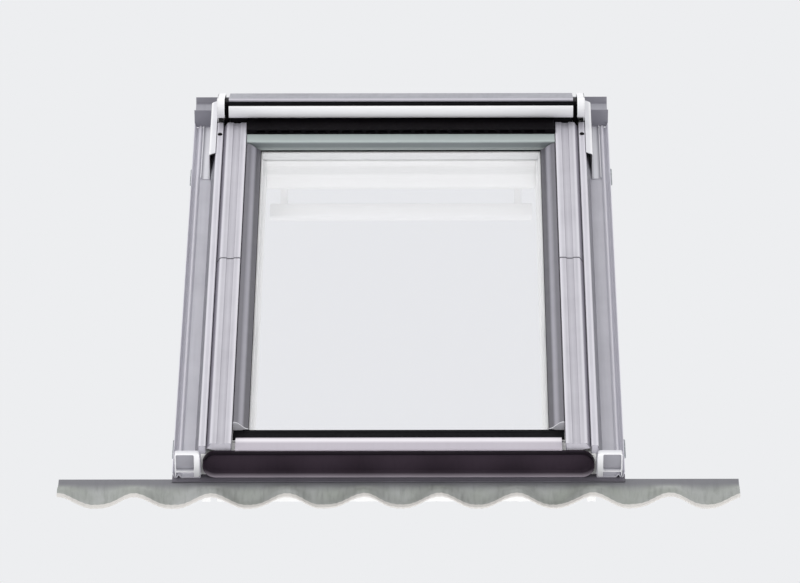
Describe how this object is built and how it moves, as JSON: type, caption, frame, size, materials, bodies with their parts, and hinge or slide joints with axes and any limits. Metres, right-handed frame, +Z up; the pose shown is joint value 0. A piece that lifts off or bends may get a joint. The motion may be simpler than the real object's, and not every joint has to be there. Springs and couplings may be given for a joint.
{
  "type": "roof window with flashing",
  "caption": "Centre-pivot roof window in a pitched roof, with grey metal covers, hood, side gutters and a waved apron dressed to roll tiles.",
  "frame": {"origin": "centre of the lower left bracket's foot, on its face that bears on the roof batten", "axes": "+X to the right across the window, +Y level into the roof, +Z up; the window leans back by the roof's 45 degree pitch"},
  "size_m": [1.34, 1.1421, 1.1631],
  "materials": {
    "painted_timber": "white satin paint over pine",
    "glass": "clear float glass, coated",
    "spacer_metal": "mill finish",
    "gasket_rubber": "matt EPDM",
    "inner_cladding": "grey lacquer",
    "cladding": "silver-grey lacquer",
    "dark_cladding": "dark grey lacquer",
    "baffle_plastic": "black",
    "flashing_metal": "weathered grey lacquer",
    "apron_metal": "weathered, dull grey-green",
    "galvanised_steel": "galvanised",
    "bar_lacquer": "white lacquer over aluminium",
    "flap_lacquer": "white lacquer"
  },
  "bodies": {
    "root": {"frame_side_left": "painted_timber", "frame_side_right": "painted_timber", "frame_head": "painted_timber", "frame_sill": "painted_timber", "sash_side_left": "painted_timber", "sash_side_right": "painted_timber", "sash_top_rail": "painted_timber", "sash_bottom_rail": "painted_timber", "outer_pane": "glass", "inner_pane": "glass", "pane_spacer": "spacer_metal", "glazing_gasket": "gasket_rubber", "bevel_strip_left": "inner_cladding", "bevel_strip_right": "inner_cladding", "top_glazing_cover": "inner_cladding", "bottom_sash_cover": "cladding", "upper_cover_left": "cladding", "upper_cover_right": "cladding", "lower_cover_left": "cladding", "lower_cover_right": "cladding", "frame_rail_left": "cladding", "frame_rail_right": "cladding", "hood": "cladding", "hood_cap_left": "cladding", "hood_cap_right": "cladding", "sill_cover": "dark_cladding", "vent_baffle": "baffle_plastic", "side_flashing_left": "flashing_metal", "side_flashing_right": "flashing_metal", "head_flashing": "flashing_metal", "sill_flashing": "flashing_metal", "foot_piece_left": "flashing_metal", "foot_piece_right": "flashing_metal", "apron": "apron_metal", "bracket_lower_left": "galvanised_steel", "bracket_lower_right": "galvanised_steel", "bracket_upper_left": "galvanised_steel", "bracket_upper_right": "galvanised_steel", "pivot_hinge_left": "galvanised_steel", "pivot_hinge_right": "galvanised_steel", "barrel_bolt": "galvanised_steel", "control_bar": "bar_lacquer", "ventilation_flap": "flap_lacquer"}
  },
  "joints": []
}
